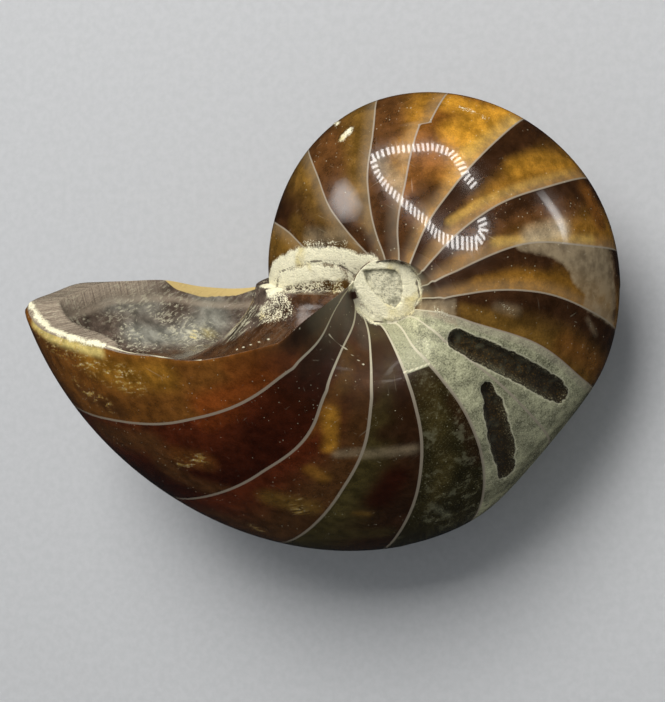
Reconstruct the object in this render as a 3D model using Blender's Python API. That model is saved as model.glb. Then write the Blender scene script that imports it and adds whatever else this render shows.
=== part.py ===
"""Polished fossil nautilus, whole: one coiled shell turned to stone, ground and polished all over.

Sizes are in metres, angles in degrees. The shell is first described in its coil frame: it coils
about Y, the flank that shows faces -Y, and the mouth at -X opens towards +Z. "Turn" is the angle
behind the mouth, 0 at the mouth and negative further back. "Girth" runs across the shell, from -1
at the near navel, over 0 at the outer edge, to 1 at the far navel. The shell is then laid on its
far flank, as a loose fossil rests on a table, with +Z up.
"""

import math

import bmesh
import bpy
import numpy as np
from mathutils import Matrix, Vector

NAME = "nautilus_fossil"

# Coil: where the mouth stands around the coil axis, and the outer radius at each turn
MOUTH_ANGLE = 183.0
GROWTH = (
    (-420, 0.0155), (-330, 0.0176), (-270, 0.0245), (-210, 0.0289), (-150, 0.0313),
    (-90, 0.0372), (-45, 0.0426), (0, 0.0503), (40, 0.0574),
)

# Cross-section, in parts of the outer radius: rounded triangle, widest at the navel's shoulder
HALF_WIDTH = 0.555
SHOULDER_REACH = 0.25
OUTER_ROUNDNESS = 1.31
FLANK_ROUNDNESS = 1.25
SHOULDER_GIRTH = 0.68

# Navel: a low ring round a fill of sediment, a little above the coil axis; its place across the shell
RING_RADIUS = 0.0043
RING_PLACE = 0.0130
RING_X = -0.0002
RING_Z = 0.0020
FILL_SHARE = 0.72
FILL_SINK = 0.0007

# Broken edge of the mouth: degrees behind the mouth at each girth, near side then far side
RIM_NEAR = (
    (0.0, 1.9), (0.12, 3.1), (0.3, 4.4), (0.42, 5.5), (0.52, 6.8), (0.6, 5.4),
    (0.68, 1.0), (0.78, -8.0), (0.9, -13.5), (1.0, -16.0),
)
RIM_FAR = (
    (0.0, 1.9), (0.08, 1.4), (0.18, 1.6), (0.3, 4.2), (0.37, 8.8), (0.43, 12.6),
    (0.53, 15.2), (0.62, 14.5), (0.74, 8.0), (0.88, -8.0), (1.0, -16.0),
)
RIM_NIBBLE = 0.7

# Where the mouth's inner side meets the older whorl, in degrees of turn at each girth
SADDLE = ((0.0, -358.5), (0.35, -356.0), (0.7, -346.0), (1.0, -341.0))

# Bowl: the last chamber wall, seen in the mouth. Its brim runs inside the rim, nearest to it on the
# side that shows (width at each girth), and its inner edge stays clear of the older whorl
BRIM = (
    (-0.7, 0.0009), (-0.5, 0.0009), (-0.36, 0.0014), (-0.2, 0.0042), (0.0, 0.0052), (0.7, 0.0042),
)
BRIM_INNER = 0.0018
BOWL_DEPTH = 0.0100
BOWL_ENDS = 0.84
BOWL_FLATNESS = 5
BOWL_STEEPNESS = 0.55

# Ground facet low on the side away from the mouth
FACET_ANGLE = -36.6
FACET_TILT = 14.3
FACET_DISTANCE = 0.0299
FACET_SOFTNESS = 0.0016

# Dissolved hollows in two chambers: turn, girth and radius along each one
HOLLOWS = {
    "long_hollow": (
        (-158.5, -0.66, 0.0009), (-155.5, -0.59, 0.0015), (-153.6, -0.48, 0.0017),
        (-151.0, -0.36, 0.0018), (-148.4, -0.25, 0.0017), (-147.0, -0.20, 0.0010),
    ),
    "drop_hollow": (
        (-139.5, -0.50, 0.0006), (-134.8, -0.45, 0.0012), (-128.9, -0.38, 0.0017),
        (-124.5, -0.29, 0.0016), (-121.2, -0.22, 0.0010),
    ),
}
HOLLOW_SINK = 0.0003
HOLLOW_POINTS = 14

# Resting pose, and how deep the far flank is ground flat where it rests
LEAN_BACK = 16.9
LEAN_LEFT = 16.0
GROUND_DEPTH = 0.0007

# Mesh: rows along the coil, columns over each flank, rows across the bowl
ROWS = 76
COLUMNS = 24
BOWL_STEPS = 10
SEED = 7


def smooth_curve(x, knots):
    """Value at x of a smooth curve through (position, value) knots."""
    at, value = np.array(knots, float).T
    slope = np.gradient(value, at)
    x = np.clip(x, at[0], at[-1])
    left = np.clip(np.searchsorted(at, x) - 1, 0, len(at) - 2)
    span = at[left + 1] - at[left]
    t = (x - at[left]) / span
    start = value[left] * (1 + 2 * t) + slope[left] * span * t
    end = value[left + 1] * (3 - 2 * t) - slope[left + 1] * span * (1 - t)
    return start * (1 - t) ** 2 + end * t ** 2


def outer_radius(turn):
    """Distance from the coil axis to the shell's outer edge."""
    knots = [(angle, math.log(radius)) for angle, radius in GROWTH]
    return np.exp(smooth_curve(turn, knots))


def flank_profile(share):
    """Reach and half width of the section, from the outer edge (0) to the navel's shoulder (1)."""
    bend = np.linspace(0, math.pi / 2, 200)
    reach = SHOULDER_REACH + (1 - SHOULDER_REACH) * np.cos(bend) ** OUTER_ROUNDNESS
    width = HALF_WIDTH * np.sin(bend) ** FLANK_ROUNDNESS
    length = np.concatenate(([0], np.cumsum(np.hypot(np.diff(reach), np.diff(width)))))
    length /= length[-1]
    return np.interp(share, length, reach), np.interp(share, length, width)


def shell_point(turn, girth):
    """Points of the shell's surface in the coil frame, before the facet is ground."""
    side, across = np.sign(girth), np.abs(girth)
    radius, angle = outer_radius(turn), np.radians(MOUTH_ANGLE - turn)
    reach, width = flank_profile(np.minimum(across / SHOULDER_GIRTH, 1))
    x, y, z = radius * reach * np.cos(angle), radius * width, radius * reach * np.sin(angle)
    wall = np.clip((across - SHOULDER_GIRTH) / (1 - SHOULDER_GIRTH), 0, 1)
    inward, down = np.sin(wall * math.pi / 2), (1 - np.cos(wall * math.pi)) / 2
    x += (RING_X + RING_RADIUS * np.cos(angle) - x) * inward
    z += (RING_Z + RING_RADIUS * np.sin(angle) - z) * inward
    y += (RING_PLACE - y) * down
    return np.stack([x, side * y, z], -1)


def grind_facet(points):
    """The flat ground low on the shell, with a softly rounded border."""
    angle, tilt = math.radians(FACET_ANGLE), math.radians(FACET_TILT)
    normal = np.array([math.cos(angle) * math.cos(tilt), -math.sin(tilt),
                       math.sin(angle) * math.cos(tilt)])
    proud = points @ normal - FACET_DISTANCE
    taken = (proud + np.sqrt(proud ** 2 + FACET_SOFTNESS ** 2)) / 2
    taken = np.where(proud > -4 * FACET_SOFTNESS, taken, 0)
    return points - taken[..., None] * normal


def rim_turn(girth):
    """Turn of the mouth's broken edge."""
    near, far = smooth_curve(-girth, RIM_NEAR), smooth_curve(girth, RIM_FAR)
    back = np.where(girth < 0, near, far)
    random = np.random.default_rng(SEED)
    nibble = sum(np.sin(wave * girth + random.uniform(0, 6)) / wave for wave in (17, 29, 43)) * 17
    fade = np.clip((0.7 - np.abs(girth)) / 0.3, 0, 1)
    return -back - RIM_NIBBLE * nibble * fade / 2


def mouth_rows(girth, rim, saddle):
    """Rows across the mouth: the brim, the concave chamber wall and the bowl's inner edge."""
    across = np.linalg.norm(saddle - rim, axis=1)
    start = np.minimum(smooth_curve(girth, BRIM) / across, 0.3)
    end = 1 - np.minimum(BRIM_INNER / across, 0.3)
    step = np.linspace(0, 1, BOWL_STEPS + 1)[:, None]
    share = start + (end - start) * step
    deep = BOWL_DEPTH * np.clip(1 - (np.abs(girth) / BOWL_ENDS) ** BOWL_FLATNESS, 0, None)
    rows = rim + (saddle - rim) * share[..., None]
    rows[..., 2] -= deep * np.sin(step * math.pi) ** BOWL_STEEPNESS
    return rows


def shell_mesh():
    """The shell as one closed skin: the coil, the mouth across its end and the two navels."""
    girth = np.linspace(-1, 1, 2 * COLUMNS + 1)
    first, last = smooth_curve(np.abs(girth), SADDLE), rim_turn(girth)
    share = np.linspace(0, 1, ROWS + 1)[:, None]
    coil = grind_facet(shell_point(first + (last - first) * share, girth + 0 * share))
    rows = np.concatenate([coil, mouth_rows(girth, coil[-1], coil[0])])
    count, width = rows.shape[:2]
    points = [tuple(point) for point in rows.reshape(-1, 3)]
    faces = []
    for row in range(count):
        here, after = row * width, (row + 1) % count * width
        for column in range(width - 1):
            faces.append((here + column, after + column, after + column + 1, here + column + 1))
    for column, side in ((0, -1), (width - 1, 1)):
        add_navel_fill(points, faces, [row * width + column for row in range(count)], side)
    return np.array(points), faces


def add_navel_fill(points, faces, ring, side):
    """The sediment that fills a navel: a sunk round floor inside the ring."""
    middle = np.array([RING_X, side * (RING_PLACE - FILL_SINK), RING_Z])
    start = len(points)
    for corner in ring:
        place = middle + (np.array(points[corner]) - middle) * FILL_SHARE
        points.append((place[0], middle[1], place[2]))
    points.append(tuple(middle))
    count = len(ring)
    for index in range(count):
        after = (index + 1) % count
        edge = (ring[index], ring[after], start + after, start + index)
        floor = (start + index, start + after, start + count)
        faces.append(edge[::-1] if side < 0 else edge)
        faces.append(floor[::-1] if side < 0 else floor)


def resting_pose():
    """Rotation from the coil frame to the table: near flank up, then leaned back and left."""
    flank_up = Matrix.Rotation(math.radians(-90), 4, "X")
    lean_back = Matrix.Rotation(math.radians(LEAN_BACK), 4, "X")
    lean_left = Matrix.Rotation(math.radians(LEAN_LEFT), 4, "Y")
    return lean_left @ lean_back @ flank_up


def lay_down(points):
    """World points of the shell at rest, and the move that takes a coil point there."""
    turned = points @ np.array(resting_pose())[:3, :3].T
    low, high = turned.min(0), turned.max(0)
    move = np.array([-(low[0] + high[0]) / 2, -(low[1] + high[1]) / 2, -low[2] - GROUND_DEPTH])
    placed = turned + move
    placed[:, 2] = np.maximum(placed[:, 2], 0)
    return placed, Matrix.Translation(Vector(move)) @ resting_pose()


def stone_material():
    """Brown polished stone."""
    material = bpy.data.materials.new("polished_stone")
    material.use_nodes = True
    shader = material.node_tree.nodes["Principled BSDF"]
    shader.inputs["Base Color"].default_value = (0.16, 0.065, 0.025, 1)
    shader.inputs["Roughness"].default_value = 0.15
    shader.inputs["Coat Weight"].default_value = 1.0
    return material


def new_collection(name):
    collection = bpy.data.collections.new(name)
    bpy.context.scene.collection.children.link(collection)
    return collection


def hollow_cutter(name, stations, to_world, cutters):
    """A bent, blunt-ended rod that lies in the shell's surface along a dissolved hollow."""
    knots = np.array(stations)
    order = np.arange(len(knots))
    along = np.linspace(0, order[-1], HOLLOW_POINTS)
    turn, girth, radius = (smooth_curve(along, np.stack([order, value], 1)) for value in knots.T)
    places = grind_facet(shell_point(turn, girth)) + np.array([0, HOLLOW_SINK, 0])
    curve = bpy.data.curves.new(name, "CURVE")
    curve.dimensions = "3D"
    curve.bevel_depth = 1.0
    curve.bevel_resolution = 2
    curve.use_fill_caps = True
    spline = curve.splines.new("POLY")
    spline.points.add(HOLLOW_POINTS - 1)
    for point, place, size in zip(spline.points, places, radius):
        point.co = (*(to_world @ Vector(place)), 1)
        point.radius = size
    rod = bpy.data.objects.new(name + "_rod", curve)
    cutters.objects.link(rod)
    bpy.context.view_layer.update()
    shaped = rod.evaluated_get(bpy.context.evaluated_depsgraph_get())
    mesh = bpy.data.meshes.new_from_object(shaped)
    weld = bmesh.new()
    weld.from_mesh(mesh)
    bmesh.ops.remove_doubles(weld, verts=weld.verts, dist=0.00002)
    bmesh.ops.recalc_face_normals(weld, faces=weld.faces)
    weld.to_mesh(mesh)
    weld.free()
    cutter = bpy.data.objects.new(name, mesh)
    cutter.matrix_world = rod.matrix_world
    bpy.data.objects.remove(rod)
    cutters.objects.link(cutter)
    cutter.hide_render = True
    cutter.display_type = "WIRE"
    return cutter


def main():
    for item in list(bpy.context.scene.objects):
        bpy.data.objects.remove(item, do_unlink=True)
    parts, cutters = new_collection(NAME), new_collection("hollow_cutters")
    coil_points, faces = shell_mesh()
    points, to_world = lay_down(coil_points)
    mesh = bpy.data.meshes.new(NAME)
    mesh.from_pydata([tuple(point) for point in points], [], faces)
    mesh.shade_smooth()
    mesh.set_sharp_from_angle(angle=math.radians(40))
    mesh.materials.append(stone_material())
    shell = bpy.data.objects.new(NAME, mesh)
    parts.objects.link(shell)
    for name, stations in HOLLOWS.items():
        cut = shell.modifiers.new(name, "BOOLEAN")
        cut.operation = "DIFFERENCE"
        cut.solver = "EXACT"
        cut.object = hollow_cutter(name, stations, to_world, cutters)


main()
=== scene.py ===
"""Looks of a polished fossil nautilus: fine stone skin, chamber walls, crusts, studio and camera.

The shell is described in its coil frame, as its solid is: it coils about Y, the flank that shows
faces -Y and the mouth at -X opens towards +Z. Turn is the angle behind the mouth in degrees, and
girth runs across the shell from -1 at the near navel over 0 at the outer edge to 1 at the far one.
Places that are given by a pixel of the photograph are found on the surface that shows there.
"""

import math
from functools import reduce

import bpy
import numpy as np
from bpy.props import FloatProperty, FloatVectorProperty, IntProperty, PointerProperty
from mathutils import Matrix, Vector, noise


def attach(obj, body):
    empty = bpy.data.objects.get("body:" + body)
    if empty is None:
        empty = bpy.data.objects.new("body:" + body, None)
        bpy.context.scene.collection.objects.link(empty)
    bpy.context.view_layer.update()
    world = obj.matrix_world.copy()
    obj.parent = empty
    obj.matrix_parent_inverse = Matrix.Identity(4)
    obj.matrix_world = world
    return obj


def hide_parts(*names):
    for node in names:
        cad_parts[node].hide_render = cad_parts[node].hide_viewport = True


bl_info = {
    "name": "Polished Fossil Nautilus",
    "version": (1, 0, 0),
    "blender": (4, 5, 0),
    "location": "View3D > Sidebar > Nautilus",
    "description": "Builds a polished fossil nautilus and its studio around a packed solid",
    "category": "Add Mesh",
}

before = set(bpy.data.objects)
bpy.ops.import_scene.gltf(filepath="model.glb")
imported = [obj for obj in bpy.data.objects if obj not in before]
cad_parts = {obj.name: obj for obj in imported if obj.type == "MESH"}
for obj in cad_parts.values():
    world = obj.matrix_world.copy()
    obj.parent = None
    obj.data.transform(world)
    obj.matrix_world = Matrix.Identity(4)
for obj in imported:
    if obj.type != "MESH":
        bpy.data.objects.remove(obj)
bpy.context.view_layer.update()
NODE = "nautilus_fossil"
BODY = "root"

# Shape of the shell, as in its solid, but with the first hollow about 1 mm shorter
GROWTH = (
    (-420, 0.0155), (-330, 0.0176), (-270, 0.0245), (-210, 0.0289), (-150, 0.0313),
    (-90, 0.0372), (-45, 0.0426), (0, 0.0503), (40, 0.0574),
)
SHOULDER_GIRTH = 0.68
OUTER_ROUNDNESS = 1.31
FLANK_ROUNDNESS = 1.25
RING_X = -0.0002
RING_Z = 0.0020
RIM_NEAR = (
    (0.0, 1.9), (0.12, 3.1), (0.3, 4.4), (0.42, 5.5), (0.52, 6.8), (0.6, 5.4),
    (0.68, 1.0), (0.78, -8.0), (0.9, -13.5), (1.0, -16.0),
)
RIM_FAR = (
    (0.0, 1.9), (0.08, 1.4), (0.18, 1.6), (0.3, 4.2), (0.37, 8.8), (0.43, 12.6),
    (0.53, 15.2), (0.62, 14.5), (0.74, 8.0), (0.88, -8.0), (1.0, -16.0),
)
RIM_NIBBLE = 0.7
NIBBLE_WAVES = (17, 29, 43)
NIBBLE_END = 0.7
NIBBLE_FADE = 0.3
SADDLE = ((0.0, -358.5), (0.35, -356.0), (0.7, -346.0), (1.0, -341.0))
BRIM = (
    (-0.7, 0.0009), (-0.5, 0.0009), (-0.36, 0.0014), (-0.2, 0.0042), (0.0, 0.0052), (0.7, 0.0042),
)
BRIM_INNER = 0.0018
BRIM_LIMIT = 0.3
BOWL_ENDS = 0.84
BOWL_FLATNESS = 5
BOWL_STEEPNESS = 0.55
FACET_ANGLE = -36.6
FACET_TILT = 14.3
FACET_DISTANCE = 0.0299
FACET_SOFTNESS = 0.0016
HOLLOWS = (
    (
        (-158.0, -0.64, 0.0011), (-155.5, -0.58, 0.0015), (-153.6, -0.48, 0.0016),
        (-151.0, -0.36, 0.0016), (-148.8, -0.27, 0.0015), (-147.8, -0.23, 0.0009),
    ),
    (
        (-139.5, -0.50, 0.0006), (-134.8, -0.45, 0.0012), (-128.9, -0.38, 0.0017),
        (-124.5, -0.29, 0.0016), (-121.2, -0.22, 0.0010),
    ),
)
LEAN_BACK = 16.9
LEAN_LEFT = 16.0
GROUND_DEPTH = 0.0007
SEED = 7

# Rounding of the mouth's edge: how far it reaches at the outer edge and at the navels
RIM_SOFT_TIP = 0.0008
RIM_SOFT_NAVEL = 0.0034
RIM_PASSES = 40
RIM_EASE = 0.8

# Mesh rows of the brim, of the bowl's inner edge and close to the rim, and rings of the navels
BRIM_ROWS = 12
INNER_ROWS = 5
FINE_ROWS = 25
FINE_START = 0.97
NEAR_RINGS = 24
FAR_RINGS = 10

# Chamber walls, youngest first: degrees behind the mouth at these places across a flank
WALL_GIRTHS = (0.0, 0.2, 0.4, 0.6, 0.7, 0.8, 0.9, 1.0)
WALLS = (
    (17.5, 21, 25.5, 25.5, 19, 15, -5, -15.5),
    (40.5, 45, 50, 53, 45, 40.5, 37, 20),
    (63, 68, 73.5, 79, 77.5, 73, 62, 40),
    (84, 90, 98, 105.5, 107, 102, 90, 72),
    (104, 112.5, 121, 128, 129, 121, 113, 100),
    (131, 136, 141.5, 149, 154, 149, 139, 124),
    (149, 154.5, 163.5, 171, 177, 167.5, 153, 140),
    (165, 173.5, 183.5, 191, 192.5, 184, 172, 160),
    (186, 193, 203, 208.5, 211, 201.5, 191, 180),
    (206.5, 213, 221.5, 226.5, 226, 218, 210, 200),
    (229.5, 234, 239, 243, 241, 234, 229, 224),
    (253, 256.5, 259, 259.5, 253, 249, 247, 245),
    (272, 273.5, 277.5, 275.5, 269, 268, 269, 270),
    (299, 299, 300, 292, 282, 284, 287, 290),
    (330, 327.5, 328.5, 322, 318, 318, 318, 318),
)
LAST_WALL = 372.0
BROKEN_WALL = 11
BREAK_GIRTH = 0.185
BREAK_SHIFT = 1.5
BREAK_END = 0.55
GREEN_CHAMBER = 4
SILT_CHAMBERS = (5, 6)

# What each chamber is filled with, youngest first: beside its younger wall, then beside the older
CHAMBERS = (
    ("russet", "russet"), ("garnet", "oxblood"), ("garnet", "brown"), ("olive", "umber"),
    ("bottle", "bottle"), ("silt", "silt"), ("silt", "silt"), ("bronze", "umber"),
    ("amber", "umber"), ("amber", "umber"), ("amber", "umber"), ("gold", "russet"),
    ("amber", "brown"), ("bronze", "brown"), ("bronze", "umber"), ("bronze", "umber"),
)

# Stains in the stone, and in clear grey a few painted highlights and reflections: chamber (or MOUTH),
# colour, strength, reach in mm, photograph pixels
MOUTH = -1
STAINS = (
    (0, "amber", 0.8, 3.0, ((92, 362), (120, 376), (160, 376))),
    (0, "brown", 0.7, 2.0, ((85, 395), (120, 412))),
    (0, "yellow", 0.8, 1.0, ((36, 322), (52, 337), (75, 347), (100, 352))),
    (0, "ember", 0.8, 2.6, ((205, 404), (255, 385), (285, 362))),
    (0, "ember", 0.4, 2.0, ((235, 368), (262, 358))),
    (0, "umber", 0.8, 2.4, ((300, 335), (318, 305), (335, 300))),
    (1, "brown", 0.9, 3.2, ((105, 430), (150, 442), (170, 470))),
    (1, "russet", 0.6, 2.2, ((180, 455), (205, 462))),
    (1, "brown", 0.8, 2.2, ((195, 485), (235, 495))),
    (1, "ember", 0.5, 1.6, ((205, 425), (235, 412))),
    (1, "oxblood", 0.9, 3.4, ((262, 428), (300, 400), (285, 385))),
    (1, "umber", 0.8, 1.8, ((305, 368), (325, 345))),
    (1, "taupe", 0.7, 1.0, ((348, 322), (348, 338))),
    (1, "umber", 0.95, 0.9, ((348, 286), (349, 314))),
    (2, "gold", 0.7, 1.3, ((331, 412), (328, 446))),
    (2, "amber", 0.5, 1.2, ((310, 470), (324, 478))),
    (2, "bronze", 0.9, 2.2, ((272, 498), (308, 508))),
    (2, "bronze", 0.7, 1.6, ((345, 350), (343, 385))),
    (2, "brown", 0.7, 2.4, ((215, 515), (255, 528))),
    (2, "garnet", 0.7, 2.0, ((290, 458), (315, 440))),
    # The clear grey stain below is part of a painted reflection of a band of light
    (2, "clear", 0.4, 0.9, ((338, 455), (362, 452))),
    (2, "amber", 0.4, 2.6, ((300, 425), (325, 400))),
    (2, "taupe", 0.75, 1.2, ((360, 318), (366, 345))),
    (3, "olive", 0.8, 1.4, ((378, 335), (388, 370), (378, 420))),
    (3, "umber", 0.9, 1.8, ((378, 345), (374, 372), (368, 400))),
    (3, "umber", 0.8, 1.6, ((398, 430), (385, 432))),
    # The clear grey stain below is part of a painted reflection of a band of light
    (3, "clear", 0.4, 1.0, ((350, 454), (415, 450))),
    (3, "oxblood", 0.9, 2.4, ((395, 478), (378, 500))),
    (3, "olive", 0.6, 2.0, ((335, 535), (385, 532))),
    (3, "bronze", 0.6, 0.8, ((358, 513), (366, 514))),
    (4, "olive", 0.8, 1.8, ((425, 385), (440, 430), (445, 470), (430, 505))),
    (4, "umber", 0.7, 1.4, ((455, 400), (478, 460))),
    (4, "silt", 0.3, 0.6, ((430, 505), (450, 515))),
    (5, "dark_silt", 0.55, 2.4, ((490, 495), (515, 480), (535, 455))),
    (6, "dark_silt", 0.55, 2.4, ((540, 450), (565, 420), (585, 400))),
    (7, "bronze", 0.9, 1.3, ((462, 312), (500, 326), (540, 345))),
    (7, "clear", 0.2, 1.0, ((498, 306), (515, 312))),
    (7, "russet", 0.7, 2.2, ((565, 345), (600, 372))),
    (7, "umber", 0.9, 1.0, ((470, 296), (540, 300), (590, 325))),
    (7, "clear", 0.2, 0.5, ((588, 318), (596, 335))),
    (8, "umber", 0.9, 1.5, ((460, 272), (515, 256), (545, 263))),
    (8, "amber", 0.8, 1.2, ((480, 285), (530, 284), (572, 296))),
    (8, "brown", 0.9, 1.0, ((609, 255), (614, 315))),
    (9, "brown", 0.9, 2.2, ((480, 235), (520, 218), (570, 205))),
    (9, "umber", 0.9, 1.4, ((480, 222), (520, 203), (562, 192))),
    (9, "russet", 0.9, 1.8, ((585, 190), (600, 222))),
    (9, "honey", 0.8, 0.8, ((495, 242), (540, 239), (592, 240))),
    # The clear grey stain below is a painted highlight beside the wall
    (9, "clear", 0.85, 1.7, ((530, 237), (562, 229))),
    (10, "umber", 0.95, 2.0, ((436, 222), (465, 178), (495, 143), (525, 135))),
    (10, "honey", 0.5, 0.7, ((450, 222), (480, 203), (530, 184), (572, 172))),
    (10, "gold", 0.5, 1.8, ((515, 168), (545, 158), (570, 168))),
    (11, "honey", 0.7, 1.4, ((468, 152), (498, 130), (514, 120))),
    (11, "gold", 0.9, 2.6, ((455, 104), (485, 116), (455, 132))),
    (11, "russet", 0.8, 2.2, ((440, 158), (430, 185))),
    (11, "umber", 0.85, 2.6, ((402, 240), (412, 214), (428, 196))),
    (12, "brown", 0.9, 2.2, ((388, 108), (395, 130))),
    (12, "amber", 0.8, 1.2, ((424, 102), (436, 112))),
    (12, "umber", 0.9, 2.0, ((388, 198), (392, 242))),
    # The clear grey stain below is a painted highlight beside the strip lamp's glare
    (12, "clear", 0.4, 1.3, ((382, 165), (396, 182))),
    (13, "bronze", 0.9, 1.6, ((368, 112), (363, 150), (360, 190))),
    (13, "brown", 0.9, 2.0, ((330, 138), (335, 168))),
    (13, "umber", 0.9, 1.4, ((345, 226), (368, 242))),
    (14, "bronze", 0.9, 1.2, ((303, 162), (315, 190), (326, 212))),
    (14, "bronze", 0.6, 1.6, ((296, 222), (306, 240))),
    (14, "umber", 0.3, 1.8, ((280, 215), (300, 200))),
    # The clear grey stain below lays a pale haze above the navel's band
    (14, "clear", 0.35, 1.4, ((310, 236), (340, 236))),
    (15, "bronze", 0.8, 1.2, ((276, 230), (290, 240))),
    (MOUTH, "silver", 0.6, 2.6, ((105, 300), (150, 308))),
    (MOUTH, "silver", 0.9, 2.8, ((135, 335), (180, 338), (215, 318), (205, 302))),
    (MOUTH, "smoke", 0.9, 1.6, ((252, 292), (248, 315), (232, 336))),
    (MOUTH, "yellow", 0.5, 1.1, ((208, 333), (232, 326))),
    (MOUTH, "cream", 0.8, 0.6, ((190, 333), (197, 335))),
)

# The photograph's camera, in the coil frame: side and height angles, distance, and the pixel where
# the coil axis meets the shell's middle plane
VIEW_SIDE = 2.3
VIEW_HEIGHT = 13.5
VIEW_DISTANCE = 0.245
VIEW_FOCUS_PIXELS = 1840.0
VIEW_AXIS_PIXEL = (391.2, 281.8)
IMAGE_SIZE = (665, 702)
SENSOR = 36.0
SIGHT_REACH = 5.0
SIGHT_DEPTH = 0.003

# Outlines in photograph pixels: the navel's fill and ring, the broken far rim, the polished
# shoulder of the mouth, and clear or pale patches of stone
FILL_OUTLINE = (
    (363, 271), (380, 269), (395, 270), (401, 276), (403, 290), (401, 302), (395, 307), (384, 303),
    (374, 293), (367, 282),
)
RING_OUTLINE = (
    (346, 262), (362, 266), (378, 262), (394, 261), (408, 265), (417, 276), (421, 290), (419, 303),
    (412, 314), (400, 319), (386, 320), (374, 314), (364, 304), (356, 290), (349, 277),
)
CHIP_OUTLINE = (
    (160, 276), (180, 278), (205, 282), (232, 282), (262, 276), (262, 287), (232, 297), (205, 299),
    (180, 293),
)
SHOULDER_OUTLINE = (
    (112, 349), (160, 351), (200, 347), (230, 339), (252, 328), (268, 314), (282, 300), (300, 291),
    (350, 280), (350, 335), (300, 352), (250, 366), (190, 372), (120, 364),
)
VEIL_OUTLINE = (
    (512, 243), (560, 241), (612, 247), (616, 300), (613, 327), (598, 318), (583, 307), (584, 295),
    (574, 284), (568, 270), (555, 258), (520, 252),
)
GLASS_OUTLINE = ((416, 301), (456, 298), (457, 326), (436, 318), (416, 308))
PALE_OUTLINE = ((372, 316), (398, 316), (432, 365), (407, 374), (396, 350), (388, 332))

# Chalky crusts, dust and crystal faces: photograph pixels along each, and its reach in mm
CRUSTS = (
    (((268, 285), (276, 271), (288, 261), (305, 256), (322, 255), (340, 257), (358, 263),
      (372, 263)), 1.1),
    (((272, 290), (284, 280), (300, 274), (318, 272), (334, 274), (350, 282)), 1.0),
    (((350, 274), (357, 290), (366, 306), (377, 317)), 0.5), (((350, 267), (358, 273)), 0.6),
    (((31, 303), (36, 316), (50, 327), (66, 335), (84, 341), (104, 345)), 0.3),
    (((341, 137), (350, 131)), 0.45), (((336, 123), (338, 124)), 0.2), (((194, 332), (193, 336)), 0.3),
)
DUST = (
    (((270, 302), (282, 292), (300, 288), (338, 286)), 1.2), (((264, 316), (288, 306)), 1.5),
    (((268, 240), (266, 280)), 0.6), (((305, 243), (345, 243)), 0.6), (((460, 108), (488, 118)), 0.5),
    (((440, 147), (448, 155)), 0.2), (((436, 310), (452, 318)), 0.6), (((502, 302), (514, 314)), 0.2),
    (((372, 405), (376, 425)), 0.1), (((395, 412), (402, 420)), 0.1),
)
CLEAVAGE = (
    (((42, 328), (66, 347), (95, 368), (130, 380)), 2.2), (((80, 385), (105, 405)), 1.2),
    (((180, 463), (200, 457)), 0.9), (((252, 526), (262, 531)), 0.6), (((295, 500), (300, 512)), 0.9),
)

# Thin dark cracks and pale veins, and along the mouth's rim a pale line that is partly its worn edge
# and partly a painted highlight: photograph pixels along each
CRACKS = (
    ((272, 290), (274, 281), (280, 273), (290, 267), (300, 263), (315, 261), (330, 261), (345, 264)),
    ((362, 270), (380, 267), (398, 269), (405, 278), (407, 294), (403, 308)),
    ((360, 276), (368, 292), (380, 306), (394, 311)),
)
VEINS_AND_RIM_HIGHLIGHT = (
    ((404, 373), (416, 368), (429, 364)), ((330, 334), (345, 350), (364, 365)),
    # The last line follows the mouth's rim: partly its worn pale edge, partly a painted highlight on
    # the rounded rim
    ((108, 346), (130, 351), (160, 355), (200, 355), (237, 348), (268, 340), (301, 328)),
)

# Photograph pixels that mirror the strip lamp's corners and the windows, with each window's glow
LAMP_CORNERS = (
    (474, 187), (468, 176), (461, 163), (451, 152), (433, 147), (410, 148), (388, 152), (373, 158),
    (377, 172), (387, 187), (400, 200), (412, 209), (425, 221), (436, 233), (448, 241), (464, 244),
    (478, 243), (483, 230), (480, 216),
)
PANES = (
    (((334, 181), (346, 177), (357, 190), (364, 206), (357, 222), (340, 223), (328, 203)), 4.0),
    (((534, 192), (543, 190), (556, 206), (566, 222), (569, 245), (563, 246), (558, 226),
      (548, 212)), 5.0),
)

# Studio: distances, sizes, strengths and colours of the lights, and the floor
LAMP_DISTANCE = 0.40
LAMP_PITCH = 5.0
LAMP_WIDTH = 0.034
LAMP_GLOW = 15.0
LAMP_COLOUR = (1.0, 0.97, 0.93, 1.0)
PANE_DISTANCE = 0.45
PANE_EDGE = 0.1
WORLD_LIGHT = 0.35
WORLD_SHEEN = 0.01
SKY_COLOUR = (0.9, 0.95, 1.0, 1.0)
KEY_POWER = 4.1
KEY_SIZE = 0.30
KEY_AIM = (0.0, 0.0, 0.02)
KEY_BACK = 0.42
KEY_UP = 0.33
KEY_LEFT = 0.21
FLOOR_REACH = 3.0
FLOOR_GRAIN = 900.0
FLOOR_SHADES = (0.43, 0.46)

# Painting: millimetres in a metre, the lowest value of a field, girths where the near flank and the
# navels end, radii of the far navel's fill and ring in mm, and the pixels between which the brim fades
TO_MM = 1000.0
OUTSIDE = -3.0
NEAR_GIRTH = 0.05
NAVEL_GIRTH = 0.75
CHIP_GIRTH = 0.15
FAR_FILL_RADIUS = 3.0
FAR_RING_RADIUS = 4.4
BRIM_FADE = (130, 175)
RELIEF_SIZE = 0.0006

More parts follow.
